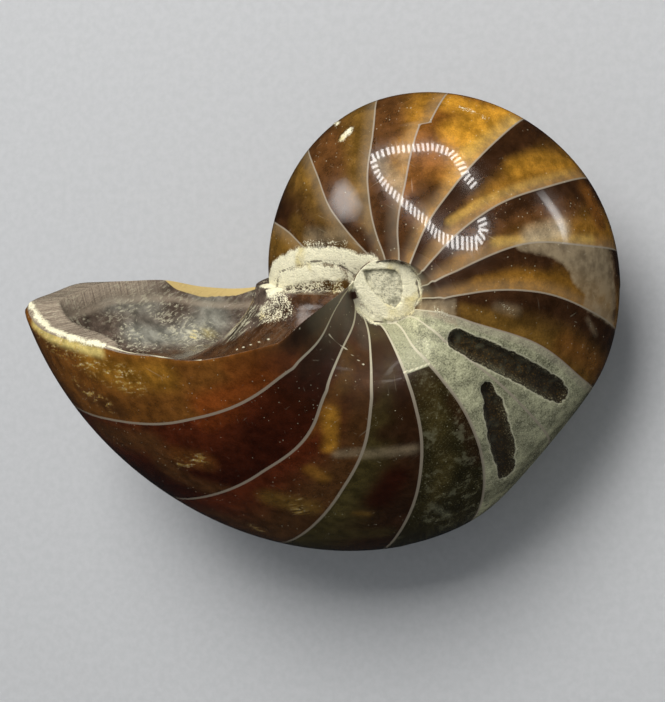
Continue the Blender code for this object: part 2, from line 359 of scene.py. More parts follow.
# Shading: noise cells per metre, the scratches' turns and widths, and widths beside the walls
CLOUD_SCALE = 160.0
MOTTLE_SCALE = 620.0
GRAIN_SCALE = 4600.0
FLECK_SCALE = 2100.0
RIDGES_ACROSS = 260.0
RIDGES_INWARD = 180.0
SCRATCH_PATCHES = 130.0
SCRATCH_AXIS = (0.06, -0.03, 0.95)
SCRATCH_WAYS = ((0.5, 2600.0), (1.4, 3400.0), (2.5, 3000.0))
GLOW_WIDTH = 0.0022
MARGIN_WIDTH = 0.0012

# Strength and distance of the bumps, and roughness of the polish over them
FLANK_BUMP = (0.6, 0.0003)
MOUTH_BUMP = (0.4, 0.0002)
FLANK_COAT_ROUGHNESS = 0.035
MOUTH_COAT_ROUGHNESS = 0.08


def colour(name, description, default):
    return FloatVectorProperty(name=name, description=description, default=default,
                               subtype="COLOR", size=3, min=0, max=1)


class StoneColours(bpy.types.PropertyGroup):
    """Colours of the stone, its fillings and its crusts."""

    honey: colour("Honey", "Pale glowing calcite in the older chambers", (0.50, 0.30, 0.050))
    gold: colour("Gold", "Orange gold calcite", (0.50, 0.230, 0.018))
    amber: colour("Amber", "Golden brown calcite", (0.29, 0.130, 0.012))
    bronze: colour("Bronze", "Olive brown calcite", (0.155, 0.078, 0.012))
    russet: colour("Russet", "Orange brown calcite of the young chambers", (0.162, 0.058, 0.008))
    brown: colour("Brown", "Middle brown calcite", (0.085, 0.033, 0.008))
    umber: colour("Umber", "Dark brown calcite", (0.036, 0.0135, 0.004))
    ember: colour("Ember", "Red glow deep in the young chambers", (0.198, 0.041, 0.004))
    garnet: colour("Garnet", "Deep red brown calcite", (0.091, 0.016, 0.003))
    oxblood: colour("Oxblood", "Darkest red brown calcite", (0.039, 0.006, 0.001))
    olive: colour("Olive", "Green brown calcite", (0.062, 0.045, 0.011))
    bottle: colour("Bottle Green", "Black green filling of one chamber", (0.028, 0.021, 0.005))
    silt: colour("Silt", "Grey green sediment", (0.34, 0.33, 0.20))
    dark_silt: colour("Dark Silt", "Darker grains in the sediment", (0.070, 0.066, 0.036))
    # Clear grey is also used for painted highlights and painted reflections in some stains
    clear: colour("Clear Grey", "Clear grey calcite over pale ground", (0.38, 0.29, 0.17))
    smoke: colour("Smoke", "Clear calcite over dark ground", (0.055, 0.043, 0.028))
    wall: colour("Wall", "Chamber walls that the polish cuts", (0.36, 0.30, 0.22))
    cream: colour("Cream", "Chalky shell round the navel", (0.82, 0.76, 0.53))
    yellow: colour("Yellow", "Stained chalky shell", (0.64, 0.51, 0.17))
    taupe: colour("Taupe", "Brown grey chamber wall in the mouth", (0.105, 0.074, 0.054))
    brim: colour("Brim", "Pale grey brown edge of the mouth", (0.53, 0.43, 0.31))
    silver: colour("Silver", "Scratched grey floor of the bowl", (0.26, 0.25, 0.20))
    tan: colour("Tan", "Fresh broken edge of the mouth", (0.62, 0.45, 0.17))
    cavity: colour("Cavity", "Rough dark wall of the dissolved hollows", (0.032, 0.022, 0.008))


def ratio(name, description, default):
    return FloatProperty(name=name, description=description, default=default)


def metres(name, description, default):
    return FloatProperty(name=name, description=description, default=default, unit="LENGTH")


def whole(name, description, default):
    return IntProperty(name=name, description=description, default=default)


class ShellSizes(bpy.types.PropertyGroup):
    """Sizes of the shell and its mesh."""

    mouth_angle: FloatProperty(
        name="Mouth Angle", description="Where the mouth stands around the coil axis",
        default=math.radians(183.0), subtype="ANGLE",
    )
    half_width: ratio("Half Width", "Widest half of the section, in parts of its radius", 0.555)
    shoulder_reach: ratio("Shoulder Reach", "Where the section is widest, in parts of its radius", 0.25)
    ring_radius: metres("Navel Radius", "Radius of the ring round the navel", 0.0043)
    ring_place: metres("Navel Place", "Distance of the navel ring from the middle plane", 0.0130)
    bowl_depth: metres("Bowl Depth", "Depth of the last chamber wall in the mouth", 0.0100)
    wall_width: metres("Wall Width", "Width of a chamber wall where the polish cuts it", 0.00040)
    hollow_depth: metres("Hollow Depth", "Depth of the dissolved hollows", 0.0011)
    crust_height: metres("Crust Height", "How far the chalky crusts stand proud", 0.00010)
    fill_sink: metres("Fill Sink", "How far the navel's sediment lies under its ring", 0.00030)
    rows: whole("Rows", "Mesh rows along the coil", 320)
    near_columns: whole("Near Columns", "Mesh columns over the near flank", 112)
    far_columns: whole("Far Columns", "Mesh columns over the far flank", 64)
    bowl_rows: whole("Bowl Rows", "Mesh rows across the bowl", 56)


def smooth_curve(x, knots):
    """Value at x of a smooth curve through (position, value) knots."""
    at, value = np.array(knots, float).T
    slope = np.gradient(value, at)
    x = np.clip(x, at[0], at[-1])
    left = np.clip(np.searchsorted(at, x) - 1, 0, len(at) - 2)
    span = at[left + 1] - at[left]
    t = (x - at[left]) / span
    start = value[left] * (1 + 2 * t) + slope[left] * span * t
    end = value[left + 1] * (3 - 2 * t) - slope[left + 1] * span * (1 - t)
    return start * (1 - t) ** 2 + end * t ** 2


def smooth_step(x, low, high):
    t = np.clip((x - low) / (high - low), 0, 1)
    return t * t * (3 - 2 * t)


def outer_radius(turn):
    knots = [(angle, math.log(radius)) for angle, radius in GROWTH]
    return np.exp(smooth_curve(turn, knots))


def flank_profile(sizes, share):
    """Reach and half width of the section, from the outer edge (0) to the shoulder (1)."""
    bend = np.linspace(0, math.pi / 2, 200)
    reach = sizes.shoulder_reach + (1 - sizes.shoulder_reach) * np.cos(bend) ** OUTER_ROUNDNESS
    width = sizes.half_width * np.sin(bend) ** FLANK_ROUNDNESS
    length = np.concatenate(([0], np.cumsum(np.hypot(np.diff(reach), np.diff(width)))))
    length /= length[-1]
    return np.interp(share, length, reach), np.interp(share, length, width)


def shell_point(sizes, turn, girth):
    """Points of the shell's surface in the coil frame, before the facet is ground."""
    side, across = np.sign(girth), np.abs(girth)
    radius, angle = outer_radius(turn), sizes.mouth_angle - np.radians(turn)
    reach, width = flank_profile(sizes, np.minimum(across / SHOULDER_GIRTH, 1))
    x, y, z = radius * reach * np.cos(angle), radius * width, radius * reach * np.sin(angle)
    wall = np.clip((across - SHOULDER_GIRTH) / (1 - SHOULDER_GIRTH), 0, 1)
    inward, down = np.sin(wall * math.pi / 2), (1 - np.cos(wall * math.pi)) / 2
    x += (RING_X + sizes.ring_radius * np.cos(angle) - x) * inward
    z += (RING_Z + sizes.ring_radius * np.sin(angle) - z) * inward
    y += (sizes.ring_place - y) * down
    return np.stack([x, side * y, z], -1)


def grind_facet(points):
    """The flat ground low on the shell, with a softly rounded border."""
    angle, tilt = math.radians(FACET_ANGLE), math.radians(FACET_TILT)
    normal = np.array([math.cos(angle) * math.cos(tilt), -math.sin(tilt),
                       math.sin(angle) * math.cos(tilt)])
    proud = points @ normal - FACET_DISTANCE
    taken = (proud + np.sqrt(proud ** 2 + FACET_SOFTNESS ** 2)) / 2
    taken = np.where(proud > -4 * FACET_SOFTNESS, taken, 0)
    return points - taken[..., None] * normal


def rim_turn(girth):
    """Turn of the mouth's broken edge."""
    near, far = smooth_curve(-girth, RIM_NEAR), smooth_curve(girth, RIM_FAR)
    back = np.where(girth < 0, near, far)
    random = np.random.default_rng(SEED)
    waves = [np.sin(wave * girth + random.uniform(0, 6)) / wave for wave in NIBBLE_WAVES]
    nibble = sum(waves) * NIBBLE_WAVES[0]
    fade = np.clip((NIBBLE_END - np.abs(girth)) / NIBBLE_FADE, 0, 1)
    return -back - RIM_NIBBLE * nibble * fade / 2


def mouth_grid(sizes, girth, rim, saddle):
    """Rows across the mouth, how far each is on its way to the saddle, and the way in the bowl."""
    across = np.linalg.norm(saddle - rim, axis=1)
    start = np.minimum(smooth_curve(girth, BRIM) / across, BRIM_LIMIT)
    end = 1 - np.minimum(BRIM_INNER / across, BRIM_LIMIT)
    band = np.linspace(0, 1, BRIM_ROWS)[1:-1, None] * start
    step = np.linspace(0, 1, sizes.bowl_rows + 1)[:, None]
    inner = end + (1 - end) * np.linspace(0, 1, INNER_ROWS)[1:-1, None]
    share = np.concatenate([band, start + (end - start) * step, inner])
    deep = sizes.bowl_depth * np.clip(1 - (np.abs(girth) / BOWL_ENDS) ** BOWL_FLATNESS, 0, None)
    sunk = np.clip((share - start) / (end - start), 0, 1)
    rows = rim + (saddle - rim) * share[..., None]
    rows[..., 2] -= deep * np.sin(sunk * math.pi) ** BOWL_STEEPNESS
    return rows, share * across, sunk


def round_rim(grid, rim_row, girth):
    """Rounds the polished edge of the mouth, most towards the navels."""
    share = smooth_step(np.abs(girth), 0.1, 0.6)
    soft = RIM_SOFT_TIP + (RIM_SOFT_NAVEL - RIM_SOFT_TIP) * share
    reach = np.linalg.norm(grid - grid[rim_row], axis=-1)
    weight = np.clip(1 - reach / soft, 0, 1)[..., None]
    for _ in range(RIM_PASSES):
        between = (np.roll(grid, 1, 0) + np.roll(grid, -1, 0)) / 2
        grid = grid + (between - grid) * weight * RIM_EASE
    return grid


def chamber_of(behind, girth):
    """Chamber coordinate: 0 at the rim, then 1, 2, 3 and so on at the walls behind it."""
    across = np.abs(girth)
    walls = [smooth_curve(across, list(zip(WALL_GIRTHS, wall))) for wall in WALLS]
    inside = 1 - smooth_step(across, BREAK_GIRTH, BREAK_END)
    walls[BROKEN_WALL] += np.where(across < BREAK_GIRTH, -1, inside) * BREAK_SHIFT
    stations = np.array([behind[-1], *walls, np.full(len(across), LAST_WALL)])
    chamber = np.empty_like(behind)
    for column in range(len(across)):
        chamber[:, column] = np.interp(behind[:, column], stations[:, column],
                                       np.arange(len(stations)))
    return chamber


def wall_reach(grid, chamber):
    """Length over the surface that one step of the chamber coordinate takes, in metres."""
    along, over = np.gradient(grid, axis=0), np.gradient(grid, axis=1)
    step_along, step_over = np.gradient(chamber, axis=0), np.gradient(chamber, axis=1)
    aa, oo = (along ** 2).sum(-1), (over ** 2).sum(-1)
    ao = (along * over).sum(-1)
    area = np.maximum(aa * oo - ao ** 2, 1e-20)
    slope = (oo * step_along ** 2 - 2 * ao * step_along * step_over + aa * step_over ** 2) / area
    return 1 / np.sqrt(np.maximum(slope, 1e2))


class Skin:
    """The fine shell's rows of points in the coil frame, and how each point was made."""

    def __init__(self, sizes):
        near = np.linspace(-1, 0, sizes.near_columns + 1)
        far = np.linspace(0, 1, sizes.far_columns + 1)[1:]
        girth = np.concatenate([near, far])
        first, last = smooth_curve(np.abs(girth), SADDLE), rim_turn(girth)
        fine = np.linspace(FINE_START, 1, FINE_ROWS)[1:]
        share = np.concatenate([np.linspace(0, FINE_START, sizes.rows), fine])
        turn = first + (last - first) * share[:, None]
        coil = grind_facet(shell_point(sizes, turn, girth + 0 * turn))
        mouth, inward, sunk = mouth_grid(sizes, girth, coil[-1], coil[0])
        self.rim_row, self.width = len(coil) - 1, len(girth)
        self.grid = round_rim(np.concatenate([coil, mouth]), self.rim_row, girth)
        self.girth = np.repeat(girth[None], len(self.grid), 0)
        self.inward = np.vstack([0 * turn, inward])
        self.sunk = np.vstack([0 * turn, sunk])
        chamber = chamber_of(-turn, girth)
        self.chamber = np.vstack([chamber, 0 * inward])
        self.reach = np.vstack([wall_reach(coil, chamber), 0 * inward + 1])

    def quads(self):
        """Faces of the coil and the mouth, and which of them are the mouth's."""
        count = len(self.grid)
        row, column = np.meshgrid(np.arange(count), np.arange(self.width - 1), indexing="ij")
        here, after = row * self.width + column, (row + 1) % count * self.width + column
        quads = np.stack([here, after, after + 1, here + 1], -1).reshape(-1, 4)
        return quads, (row >= self.rim_row).ravel()


def surface_normals(grid):
    """Outward normals of the skin's points."""
    along = np.roll(grid, -1, 0) - np.roll(grid, 1, 0)
    normal = np.cross(along, np.gradient(grid, axis=1))
    return normal / np.maximum(np.linalg.norm(normal, axis=-1, keepdims=True), 1e-12)


def view_axes():
    """Right, up and back of the view, level with the coil axis."""
    side, height = math.radians(VIEW_SIDE), math.radians(VIEW_HEIGHT)
    back = Vector((math.sin(side) * math.cos(height), -math.cos(side) * math.cos(height),
                   math.sin(height)))
    right = (-back).cross(Vector((0, 0, 1))).normalized()
    return right, right.cross(-back), back


def camera_axes():
    """Right, up and back of the camera, turned a little so that the frame sits as it did."""
    right, up, back = view_axes()
    aside = (VIEW_AXIS_PIXEL[0] - IMAGE_SIZE[0] / 2) / VIEW_FOCUS_PIXELS
    below = (IMAGE_SIZE[1] / 2 - VIEW_AXIS_PIXEL[1]) / VIEW_FOCUS_PIXELS
    look = (-back - right * aside - up * below).normalized()
    right = look.cross(Vector((0, 0, 1))).normalized()
    return right, right.cross(look), -look


def camera_place():
    return view_axes()[2] * VIEW_DISTANCE


def to_pixels(points):
    """Where coil points stand in the photograph, and how far they are from its camera."""
    right, up, back = (np.array(axis) for axis in camera_axes())
    away = points - np.array(camera_place())
    depth = -(away @ back)
    across = IMAGE_SIZE[0] / 2 + VIEW_FOCUS_PIXELS * (away @ right) / depth
    down = IMAGE_SIZE[1] / 2 - VIEW_FOCUS_PIXELS * (away @ up) / depth
    return np.stack([across, down], -1), depth


class Sight:
    """Finds the skin's point that shows at a pixel of the photograph."""

    def __init__(self, skin):
        self.points = skin.grid.reshape(-1, 3)
        self.normals = surface_normals(skin.grid).reshape(-1, 3)
        self.pixels, self.depth = to_pixels(self.points)
        self.facing = ((np.array(camera_place()) - self.points) * self.normals).sum(-1) > 0

    def index(self, pixel):
        miss = np.hypot(*(self.pixels - np.array(pixel, float)).T) + np.where(self.facing, 0, 1e6)
        near = miss < max(SIGHT_REACH, miss.min() + 0.1)
        front = self.depth[near].min() + SIGHT_DEPTH
        return int(np.argmin(np.where(near & (self.depth < front), miss, 1e9)))

    def path(self, pixels):
        return [self.points[self.index(pixel)] for pixel in pixels]


def path_distance(points, path):
    """Distance of each point from a line through the path's corners."""
    path = np.array(path, float)
    nearest = np.full(len(points), np.inf)
    for start, end in zip(path[:-1], path[1:]):
        along = end - start
        share = np.clip((points - start) @ along / max(along @ along, 1e-12), 0, 1)
        away = np.linalg.norm(points - start - share[:, None] * along, axis=1)
        nearest = np.minimum(nearest, away)
    return nearest


def outline_depth(pixels, outline):
    """Distance in pixels from a closed outline, positive inside it."""
    corners = np.array(outline, float)
    distance = path_distance(pixels, np.vstack([corners, corners[:1]]))
    inside = np.zeros(len(pixels), bool)
    for (x0, y0), (x1, y1) in zip(corners, np.roll(corners, -1, 0)):
        if y0 == y1:
            continue
        crosses = (y0 > pixels[:, 1]) != (y1 > pixels[:, 1])
        inside ^= crosses & (pixels[:, 0] < x0 + (pixels[:, 1] - y0) * (x1 - x0) / (y1 - y0))
    return np.where(inside, distance, -distance)


def hollow_field(sizes, points):
    """How deep each point lies in a dissolved hollow: 1 at its middle, below 0 outside."""
    field = np.full(len(points), OUTSIDE)
    for stations in HOLLOWS:
        turn, girth, radius = np.array(stations).T
        path = grind_facet(shell_point(sizes, turn, girth))
        for start, end, size in zip(path[:-1], path[1:], (radius[:-1] + radius[1:]) / 2):
            field = np.maximum(field, 1 - path_distance(points, (start, end)) / size)
    return field


def reach_field(sight, points, lines):
    """How far each point lies within the reach of some drawn lines, in mm."""
    field = np.full(len(points), OUTSIDE)
    for pixels, reach in lines:
        away = path_distance(points, sight.path(pixels)) * TO_MM
        field = np.maximum(field, reach - away)
    return field


def painted(sight, colours, points, chamber, side_chamber, in_mouth, seen):
    """Colour of every point if it belongs to a chamber: plain fill with its stains, some of which are
    painted highlights and reflections.
    """
    within = np.clip(chamber - side_chamber, 0, 1)[:, None]
    fills = np.array([[getattr(colours, name)[:] for name in pair] for pair in CHAMBERS])
    young, old = fills[side_chamber, 0], fills[side_chamber, 1]
    paint = young + (old - young) * smooth_step(within, 0.08, 0.75)
    paint[in_mouth] = colours.taupe[:]
    place = np.where(in_mouth, MOUTH, side_chamber)
    for number, name, strength, reach, pixels in STAINS:
        away = path_distance(points, sight.path(pixels)) * TO_MM
        share = strength * (1 - smooth_step(away, 0.2 * reach, 1.3 * reach))
        share = (share * (place == number) * (seen | in_mouth))[:, None]
        paint += (np.array(getattr(colours, name)[:]) - paint) * share
    return paint


def add_navel_rings(skin, points, side, rings):
    """Points and faces of the flat fill inside a navel's ring."""
    count = len(skin.grid)
    column = 0 if side < 0 else skin.width - 1
    ring = np.arange(count) * skin.width + column
    edge = skin.grid[:, column]
    middle = edge.mean(0)
    shares = np.linspace(1, 0, rings + 1)[1:-1]
    inner = middle + (edge - middle) * shares[:, None, None]
    start = len(points)
    points = np.vstack([points, inner.reshape(-1, 3), middle[None]])
    index = np.vstack([ring[None], start + np.arange(count * len(shares)).reshape(-1, count)])
    outer, inward = index[:-1], index[1:]
    quads = np.stack([outer, np.roll(outer, -1, 1), np.roll(inward, -1, 1), inward], -1)
    last = index[-1]
    fans = np.stack([last, np.roll(last, -1), np.full(count, len(points) - 1)], -1)
    flip = slice(None, None, -1) if side < 0 else slice(None)
    return points, quads.reshape(-1, 4)[:, flip], fans[:, flip]


def resting_pose():
    """Rotation from the coil frame to the table: near flank up, then leaned back and left."""
    flank_up = Matrix.Rotation(math.radians(-90), 4, "X")
    lean_back = Matrix.Rotation(math.radians(LEAN_BACK), 4, "X")
    lean_left = Matrix.Rotation(math.radians(LEAN_LEFT), 4, "Y")
    return lean_left @ lean_back @ flank_up


def table_move(grid):
    """The move that lays a coil point on the table, as the solid lies."""
    pose = resting_pose()
    turned = grid.reshape(-1, 3) @ np.array(pose)[:3, :3].T
    low, high = turned.min(0), turned.max(0)
    move = Vector((-(low[0] + high[0]) / 2, -(low[1] + high[1]) / 2, -low[2] - GROUND_DEPTH))
    return Matrix.Translation(move) @ pose


def lay_down(points, to_table):
    placed = points @ np.array(to_table)[:3, :3].T + np.array(to_table.translation)
    placed[:, 2] = np.maximum(placed[:, 2], 0)
    return placed


def ripple(points):
    """Smooth noise at each point, about -1 to 1."""
    return np.array([noise.fractal(Vector(point) / RELIEF_SIZE, 0.8, 2.0, 3) for point in points])


def masks_of(skin, sight, sizes, colours, points, fills):
    """Painting masks of every point: shares from 0 to 1, or fields that rise through 0 inside."""
    # A point of a navel's fill takes the chamber of the ring's point that it lies inside
    rows = len(skin.grid)
    edge = np.arange(len(fills)) % rows, [skin.width - 1 if side > 0 else 0 for side in fills]
    facing = np.concatenate([sight.facing, fills < 0])
    girth = np.concatenate([skin.girth.ravel(), fills])
    chamber = np.concatenate([skin.chamber.ravel(), skin.chamber[edge]])
    reach = np.concatenate([skin.reach.ravel(), skin.reach[edge]])
    none = np.zeros(len(fills))
    inward, sunk = (np.concatenate([part.ravel(), none]) for part in (skin.inward, skin.sunk))
    mouth = np.concatenate([np.repeat(np.arange(rows) > skin.rim_row, skin.width), none > 0])
    across, near = np.abs(girth), girth < NEAR_GIRTH
    seen, navel = facing & near, across > NAVEL_GIRTH
    lower = np.clip(np.floor(chamber), 0, len(CHAMBERS) - 1).astype(int)
    other = np.clip(np.where(chamber - lower < 0.5, lower - 1, lower + 1), 0, len(CHAMBERS) - 1)
    even = np.where(lower % 2 == 0, lower, other)
    odd = np.where(lower % 2 == 0, other, lower)

    pixels, _ = to_pixels(points)
    pixel_size = VIEW_DISTANCE / VIEW_FOCUS_PIXELS * TO_MM
    middle = points[-len(fills):][fills > 0].mean(0)
    away = np.linalg.norm((points - middle)[:, [0, 2]], axis=1) * TO_MM

    def outlined(outline, where, elsewhere=OUTSIDE):
        return np.where(where, outline_depth(pixels, outline) * pixel_size, elsewhere)

    def drawn(lines):
        return np.where(facing, reach_field(sight, points, lines), OUTSIDE)

    fill = outlined(FILL_OUTLINE, near, FAR_FILL_RADIUS - away)
    ring = outlined(RING_OUTLINE, near, FAR_RING_RADIUS - away)
    ring = np.where(navel & (seen | ~near), ring, OUTSIDE)
    return {
        "chamber": chamber, "wall_reach": reach, "across": across, "inward": inward, "bowl": sunk,
        "fill": np.where(navel, fill, OUTSIDE), "cream": np.maximum(drawn(CRUSTS), ring),
        "chip": outlined(CHIP_OUTLINE, (girth > CHIP_GIRTH) & (chamber < 0.8)),
        "shoulder": outlined(SHOULDER_OUTLINE, mouth & facing),
        "veil": outlined(VEIL_OUTLINE, seen), "glass": outlined(GLASS_OUTLINE, seen),
        "pale": outlined(PALE_OUTLINE, seen), "dust": drawn(DUST), "cleavage": drawn(CLEAVAGE),
        "crack": reach_field(sight, points, [(line, 0.0) for line in CRACKS]),
        # Pale veins, and the line along the mouth's rim that is partly a painted highlight
        "vein": reach_field(sight, points, [(line, 0.0) for line in VEINS_AND_RIM_HIGHLIGHT]),
        "brim": mouth * (1 - smooth_step(pixels[:, 0], *BRIM_FADE)),
        "hollow": hollow_field(sizes, points),
        "paint_even": painted(sight, colours, points, chamber, even, mouth, seen),
        "paint_odd": painted(sight, colours, points, chamber, odd, mouth, seen),
    }


def shaped(points, normals, masks, sizes):
    """The points with the hollows sunk in and the crusts raised."""
    rough = ripple(points)
    sink = smooth_step(masks["hollow"], -0.05, 0.55) * sizes.hollow_depth * (1 + 0.3 * rough)
    proud = smooth_step(masks["cream"] + 0.15 * rough, -0.15, 0.25)
    inside = smooth_step(masks["fill"] + 0.1 * rough, -0.15, 0.15)
    crack = smooth_step(masks["crack"], -0.16, 0.0)
    rise = sizes.crust_height * proud * (1 - inside) * (0.8 + 0.35 * rough) * (1 - 0.9 * crack)
    sink = sink + inside * sizes.fill_sink * (1 + 0.3 * rough)
    return points + normals * (rise - sink)[:, None]


def make_shell(sizes, colours):
    """The fine shell's mesh data: points, faces, which material each has, and masks."""
    skin = Skin(sizes)
    sight = Sight(skin)
    quads, is_mouth = skin.quads()
    points = skin.grid.reshape(-1, 3)
    known = len(points)
    points, near_quads, near_fans = add_navel_rings(skin, points, -1, NEAR_RINGS)
    middle = len(points)
    points, far_quads, far_fans = add_navel_rings(skin, points, 1, FAR_RINGS)
    fills = np.where(np.arange(known, len(points)) < middle, -1.0, 1.0)
    masks = masks_of(skin, sight, sizes, colours, points, fills)
    flat = np.tile([0.0, 1.0, 0.0], (len(fills), 1)) * fills[:, None]
    normals = np.vstack([sight.normals, flat])
    faces = [quads, near_quads, far_quads, near_fans, far_fans]
    kinds = [is_mouth.astype(int)] + [np.zeros(len(part), int) for part in faces[1:]]
    points = lay_down(shaped(points, normals, masks, sizes), table_move(skin.grid))
    return points, faces, np.concatenate(kinds), masks


class Nodes:
    """Adds shader nodes to a tree. Their inputs are values or other nodes' sockets."""

    def __init__(self, tree):
        self.tree = tree

    def node(self, kind, inputs=None, **settings):
        made = self.tree.nodes.new("ShaderNode" + kind)
        for name, value in settings.items():
            setattr(made, name, value)
        for socket, value in (inputs or {}).items():
            if isinstance(value, bpy.types.NodeSocket):
                self.tree.links.new(value, made.inputs[socket])
            else:
                made.inputs[socket].default_value = value
        return made

    def maths(self, operation, *values):
        return self.node("Math", dict(enumerate(values)), operation=operation).outputs[0]

    def times(self, *values):
        return reduce(lambda total, value: self.maths("MULTIPLY", total, value), values)

    def most(self, *values):
        return reduce(lambda total, value: self.maths("MAXIMUM", total, value), values)

    def plus(self, first, second):
        return self.maths("ADD", first, second)

    def minus(self, first, second):
        return self.maths("SUBTRACT", first, second)

    def mask(self, name):
        return self.node("Attribute", attribute_name=name).outputs["Fac"]

    def tint(self, name):
        """A painted colour of the skin."""
        return self.node("Attribute", attribute_name=name).outputs["Color"]

    def fade(self, value, low, high, start=0.0, end=1.0):
        """Smooth step from low to high of a value, or of the mask with that name."""
        value = self.mask(value) if isinstance(value, str) else value
        inputs = {0: value, 1: low, 2: high, 3: start, 4: end}
        return self.node("MapRange", inputs, interpolation_type="SMOOTHSTEP").outputs[0]

    def speckle(self, place, scale, detail=4.0, roughness=0.6):
        inputs = {"Vector": place, "Scale": scale, "Detail": detail, "Roughness": roughness}
        return self.node("TexNoise", inputs).outputs["Fac"]

    def grey(self, value):
        return self.node("CombineColor", {0: value, 1: value, 2: value}).outputs[0]

    def use(self, group, **inputs):
        """Outputs of a node group that is given these inputs."""
        return self.node("Group", inputs, node_tree=group).outputs


class NodeGroup(Nodes):
    """A shader node group that turns some inputs of one kind into float outputs."""

    def __init__(self, name, kind, inputs, outputs):
        super().__init__(bpy.data.node_groups.new(name, "ShaderNodeTree"))
        sockets = [(label, "INPUT", kind) for label in inputs]
        sockets += [(label, "OUTPUT", "NodeSocketFloat") for label in outputs]
        for label, way, socket in sockets:
            self.tree.interface.new_socket(label, in_out=way, socket_type=socket)
        self.given = self.tree.nodes.new("NodeGroupInput").outputs
        self.result = self.tree.nodes.new("NodeGroupOutput").inputs

    def finish(self, **outputs):
        for label, socket in outputs.items():
            self.tree.links.new(socket, self.result[label])
        return self.tree


def mineral_group():
    """Clouds, mottles, grains and bright flecks of the stone."""
    group = NodeGroup("Mineral Grain", "NodeSocketVector", ["Place"],
                      ["Clouds", "Mottles", "Grains", "Flecks"])
    place = group.given["Place"]
    clouds = group.speckle(place, CLOUD_SCALE, 3.0)
    mottles = group.speckle(place, MOTTLE_SCALE, 5.0)
    grains = group.speckle(place, GRAIN_SCALE, 3.0, 0.7)
    cells = group.node("TexVoronoi", {"Vector": place, "Scale": FLECK_SCALE})
    ragged = group.times(group.minus(grains, 0.5), 0.35)
    near = group.fade(group.plus(cells.outputs["Distance"], ragged), 0.22, 0.12)
    pick = group.node("SeparateColor", {0: cells.outputs["Color"]}).outputs[0]
    few = group.fade(group.plus(pick, group.times(clouds, 1.2)), 1.47, 1.56)
    flecks = group.times(near, few)
    return group.finish(Clouds=clouds, Mottles=mottles, Grains=grains, Flecks=flecks)


def scratch_group():
    """Fine scratches that run three ways, soft streaks, and fibres in the crystals."""
    group = NodeGroup("Fine Scratches", "NodeSocketVector", ["Place"],
                      ["Scratches", "Streaks", "Fibres"])
    place = group.given["Place"]

    def lines(turn, stretch, detail):
        turned = group.node("VectorRotate", {"Vector": place, "Angle": turn, "Axis": SCRATCH_AXIS})
        long = group.node("Mapping", {"Vector": turned.outputs[0], "Scale": stretch})
        return group.speckle(long.outputs[0], 1.0, detail)

    thin = [group.fade(lines(turn, (140.0, width, 900.0), 1.0), 0.72, 0.82)
            for turn, width in SCRATCH_WAYS]
    patchy = group.fade(group.speckle(place, SCRATCH_PATCHES, 2.0), 0.42, 0.62)
    return group.finish(
        Scratches=group.times(group.most(*thin), patchy),
        Streaks=group.fade(lines(2.45, (420.0, 2600.0, 1500.0), 4.0), 0.50, 0.62),
        Fibres=group.fade(lines(2.9, (200.0, 2100.0, 1300.0), 2.0), 0.50, 0.64),
    )


def chalk_group():
    """How much of the chalky crust and its loose dust shows, broken up by the grain."""
    names = ["Cream", "Dust", "Grains", "Mottles"]
    group = NodeGroup("Chalk Crust", "NodeSocketFloat", names, ["Cover"])
    times, plus, minus, fade = group.times, group.plus, group.minus, group.fade
    cream, dust, grains, mottles = (group.given[name] for name in names)
    broken = minus(plus(grains, times(mottles, 1.5)), 1.25)
    crust = fade(plus(cream, broken), -0.35, 0.2)
    near = group.most(fade(dust, -1.0, 0.8), fade(cream, -1.0, 0.2, 0.0, 0.7))
    level = minus(0.86, times(near, 0.40))
    patchy = plus(grains, times(minus(mottles, 0.5), 0.5))
    specks = fade(minus(patchy, level), 0.0, 0.10)
    loose = times(specks, fade(near, 0.0, 0.35, 0.0, 0.85))
    return group.finish(Cover=group.most(crust, loose))


def new_material(name):
    material = bpy.data.materials.new(name)
    material.use_nodes = True
    return material, material.node_tree, material.node_tree.nodes["Principled BSDF"]


